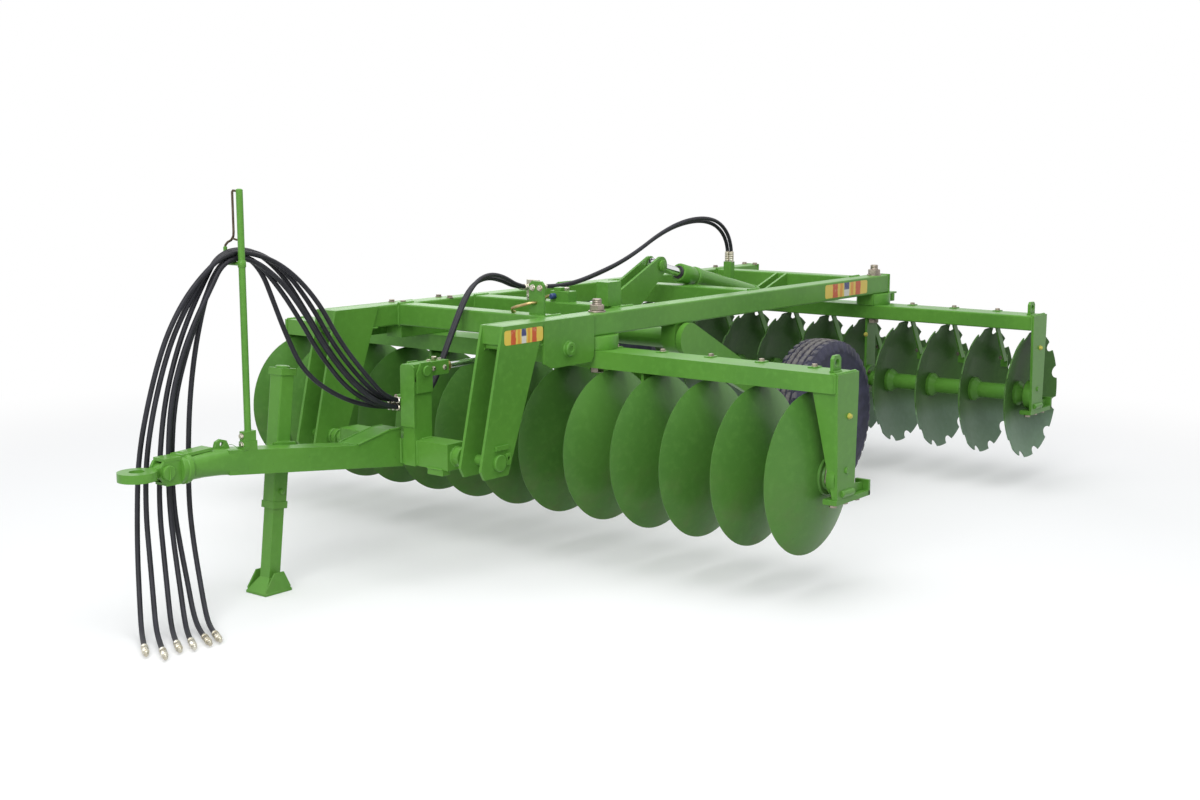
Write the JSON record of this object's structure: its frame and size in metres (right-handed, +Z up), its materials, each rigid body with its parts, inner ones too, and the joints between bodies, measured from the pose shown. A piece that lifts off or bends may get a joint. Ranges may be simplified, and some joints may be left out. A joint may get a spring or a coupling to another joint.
{
  "type": "disc harrow",
  "caption": "Trailed offset disc harrow with two gangs of dished discs under a square-tube frame, lift wheels on a cylinder, hitch eye, jack and hydraulic hoses.",
  "frame": {"origin": "on the floor, under the middle of the whole machine", "axes": "+X forward to the hitch, +Y to the left, +Z up"},
  "size_m": [4.6108, 3.2, 1.475],
  "materials": {
    "frame_paint": "gloss",
    "disc_paint": "gloss",
    "rim_paint": "gloss",
    "tyre": "matte",
    "zinc": "satin",
    "chrome": "polished",
    "hose_rubber": "satin"
  },
  "bodies": {
    "frame": {"main_beams": "frame_paint", "cross_tubes": "frame_paint", "drop_brackets": "frame_paint", "gang_pads": "frame_paint", "rockshaft_bearings": "frame_paint", "frame_lugs": "frame_paint", "hose_bulkhead": "zinc", "lift_hose_1": "hose_rubber", "lift_hose_2": "hose_rubber", "link_hose_1": "hose_rubber", "link_hose_2": "hose_rubber"},
    "front_gang_frame": {"front_gang_beam": "frame_paint", "front_hangers": "frame_paint", "front_scrapers": "frame_paint"},
    "front_gang": {"front_discs": "disc_paint", "front_axle": "frame_paint"},
    "rear_gang_frame": {"rear_gang_beam": "frame_paint", "rear_hangers": "frame_paint", "rear_scrapers": "frame_paint"},
    "rear_gang": {"rear_discs": "disc_paint", "rear_axle": "frame_paint"},
    "rockshaft": {"rockshaft": "frame_paint", "wheel_arms": "frame_paint"},
    "wheel_left": {"tyre_left": "tyre", "rim_left": "rim_paint"},
    "wheel_right": {"tyre_right": "tyre", "rim_right": "rim_paint"},
    "lift_barrel": {"lift_barrel": "frame_paint"},
    "lift_rod": {"lift_rod": "chrome"},
    "tow_frame": {"drawbar": "frame_paint", "mast": "frame_paint", "jack_tube": "frame_paint", "hose_stand": "frame_paint", "hitch_clevis": "frame_paint", "couplings": "zinc", "supply_hose_1": "hose_rubber", "supply_hose_2": "hose_rubber", "supply_hose_3": "hose_rubber", "supply_hose_4": "hose_rubber", "supply_hose_5": "hose_rubber", "supply_hose_6": "hose_rubber"},
    "leveller_box": {"leveller_box": "frame_paint"},
    "leveller_rod": {"leveller_rod": "chrome"},
    "hitch_eye": {"hitch_eye": "frame_paint"},
    "jack_leg": {"jack_leg": "frame_paint"}
  },
  "joints": [
    {"name": "front_gang_swing", "type": "hinge", "parent": "frame", "child": "front_gang_frame", "pos_m": [0.315, 0.45, 0.785], "axis": [0, 0, 1], "range_deg": [0, 10]},
    {"name": "rear_gang_swing", "type": "hinge", "parent": "frame", "child": "rear_gang_frame", "pos_m": [-1.955, 0.45, 0.785], "axis": [0, 0, 1], "range_deg": [-10, 0]},
    {"name": "front_gang_spin", "type": "hinge", "parent": "front_gang_frame", "child": "front_gang", "pos_m": [0.315, 0, 0.435], "axis": [0, 1, 0], "continuous": true},
    {"name": "rear_gang_spin", "type": "hinge", "parent": "rear_gang_frame", "child": "rear_gang", "pos_m": [-1.955, 0, 0.435], "axis": [0, 1, 0], "continuous": true},
    {"name": "wheel_lift", "type": "hinge", "parent": "frame", "child": "rockshaft", "pos_m": [-0.235, 0, 0.805], "axis": [0, 1, 0], "range_deg": [0, 20]},
    {"name": "wheel_left_spin", "type": "hinge", "parent": "rockshaft", "child": "wheel_left", "pos_m": [-1.145, 0.625, 0.365], "axis": [0, 1, 0], "continuous": true},
    {"name": "wheel_right_spin", "type": "hinge", "parent": "rockshaft", "child": "wheel_right", "pos_m": [-1.145, -0.625, 0.365], "axis": [0, 1, 0], "continuous": true},
    {"name": "lift_barrel_pivot", "type": "hinge", "parent": "frame", "child": "lift_barrel", "pos_m": [-1.575, 0, 0.862], "axis": [0, -1, 0], "range_deg": [0, 6.2]},
    {"name": "lift_rod_slide", "type": "slide", "parent": "lift_barrel", "child": "lift_rod", "axis": [0.9738, 0, 0.2276], "range_m": [0, 0.149]},
    {"name": "drawbar_pitch", "type": "hinge", "parent": "frame", "child": "tow_frame", "pos_m": [0.975, 0, 0.46], "axis": [0, -1, 0], "range_deg": [-8, 8]},
    {"name": "leveller_box_pivot", "type": "hinge", "parent": "tow_frame", "child": "leveller_box", "pos_m": [0.983, 0.105, 0.775], "axis": [0, -1, 0], "range_deg": [-7.9, 7.9]},
    {"name": "leveller_rod_slide", "type": "slide", "parent": "leveller_box", "child": "leveller_rod", "axis": [1, 0, 0], "range_m": [-0.0445, 0.0445]},
    {"name": "hitch_eye_pitch", "type": "hinge", "parent": "tow_frame", "child": "hitch_eye", "pos_m": [2.095, 0, 0.545], "axis": [0, 1, 0], "range_deg": [-12, 12]},
    {"name": "jack_slide", "type": "slide", "parent": "tow_frame", "child": "jack_leg", "axis": [-0.1189, 0, 0.9929], "range_m": [0, 0.2]}
  ],
  "couplings": [
    {"joint": "lift_barrel_pivot", "follows": "wheel_lift", "ratio": 0.31},
    {"joint": "lift_rod_slide", "follows": "wheel_lift", "m_per_rad": 0.424},
    {"joint": "leveller_box_pivot", "follows": "drawbar_pitch", "ratio": -0.98},
    {"joint": "leveller_rod_slide", "follows": "drawbar_pitch", "m_per_rad": 0.315}
  ]
}
